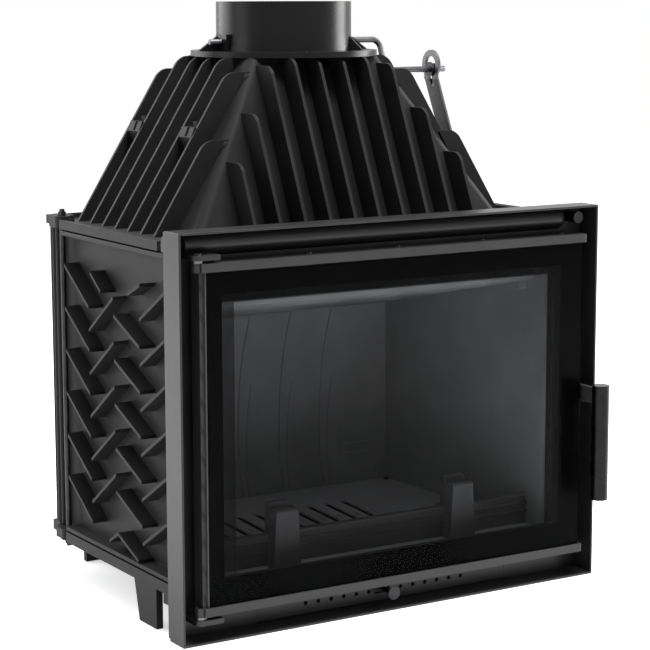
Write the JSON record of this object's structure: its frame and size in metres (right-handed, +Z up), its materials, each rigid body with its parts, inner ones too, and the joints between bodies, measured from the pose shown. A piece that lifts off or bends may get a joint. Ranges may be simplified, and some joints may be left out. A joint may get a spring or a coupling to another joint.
{
  "type": "fireplace insert",
  "caption": "Cast-iron fireplace insert with a large black-bordered glass door, ribbed sides, a finned smoke hood and a round flue collar with a damper.",
  "frame": {"origin": "on the floor, at the middle of the surround's lower front edge", "axes": "+X to the right seen from the front, +Y into the chimney, +Z up"},
  "size_m": [0.689, 0.5177, 0.8475],
  "materials": {
    "cast_iron": "heat-resistant matt black over a fine cast grain",
    "lining_iron": "bare grey cast iron with a fine grain",
    "door_iron": "satin charcoal enamel on cast iron",
    "painted_sheet": "satin charcoal stove paint on sheet steel",
    "door_glass": "clear ceramic glass with a dotted black printed border",
    "seal_rope": "braided black glass-fibre rope",
    "dark_steel": "blackened steel",
    "bright_steel": "bright brushed steel",
    "grip_sleeve": "satin steel sleeve"
  },
  "bodies": {
    "stove": {"surround": "painted_sheet", "front_plate": "cast_iron", "base_plate": "cast_iron", "lower_rope": "seal_rope", "left_side_panel": "cast_iron", "right_side_panel": "cast_iron", "back_panel": "cast_iron", "upper_rope": "seal_rope", "top_plate": "cast_iron", "tie_rods": "dark_steel", "tie_nuts": "dark_steel", "hood": "cast_iron", "hood_bolts": "dark_steel", "flue_collar": "cast_iron", "flange_bolts": "dark_steel", "air_plate": "cast_iron", "air_slide_rails": "dark_steel", "air_duct": "dark_steel", "left_lining": "lining_iron", "right_lining": "lining_iron", "back_lining": "lining_iron", "baffle": "lining_iron", "hearth_plate": "lining_iron", "hearth_bolts": "dark_steel", "fire_grate": "lining_iron", "ash_trough": "dark_steel", "front_rail": "lining_iron", "left_log_post": "lining_iron", "right_log_post": "lining_iron", "hinge_pins": "dark_steel", "hinge_washers": "bright_steel", "latch_keeper": "dark_steel"},
    "door": {"door_frame": "door_iron", "door_top_bar": "door_iron", "door_bottom_bar": "door_iron", "door_glass": "door_glass", "glass_seal": "seal_rope", "door_rope": "seal_rope", "bar_screws": "dark_steel", "latch_bearing": "bright_steel"},
    "latch": {"latch_shaft": "bright_steel", "latch_hook": "dark_steel", "handle_arm": "bright_steel", "grip_upper": "bright_steel", "grip_lower": "grip_sleeve"},
    "air_control": {"air_slide": "dark_steel", "air_knob": "bright_steel"},
    "damper_pull": {"damper_rod": "dark_steel", "damper_arm": "dark_steel", "damper_knob": "bright_steel"},
    "damper": {"damper_blade": "dark_steel", "blade_screws": "dark_steel", "damper_axle": "dark_steel", "crank_washer": "bright_steel", "crank_clip": "bright_steel"}
  },
  "joints": [
    {"name": "door_hinge", "type": "hinge", "parent": "stove", "child": "door", "pos_m": [-0.314, 0.008, 0.2755], "axis": [0, 0, -1], "range_deg": [0, 100]},
    {"name": "latch_turn", "type": "hinge", "parent": "door", "child": "latch", "pos_m": [0.314, 0.017, 0.277], "axis": [-1, 0, 0], "range_deg": [0, 30]},
    {"name": "air_slide_travel", "type": "slide", "parent": "stove", "child": "air_control", "axis": [-1, 0, 0], "range_m": [0, 0.0105]},
    {"name": "damper_pull_travel", "type": "slide", "parent": "stove", "child": "damper_pull", "axis": [0, -1, 0], "range_m": [0, 0.021]},
    {"name": "damper_turn", "type": "hinge", "parent": "stove", "child": "damper", "pos_m": [0, 0.316, 0.7895], "axis": [-1, 0, 0], "range_deg": [0, 30.6]}
  ],
  "couplings": [
    {"joint": "damper_turn", "follows": "damper_pull_travel", "rad_per_m": 25.4}
  ]
}
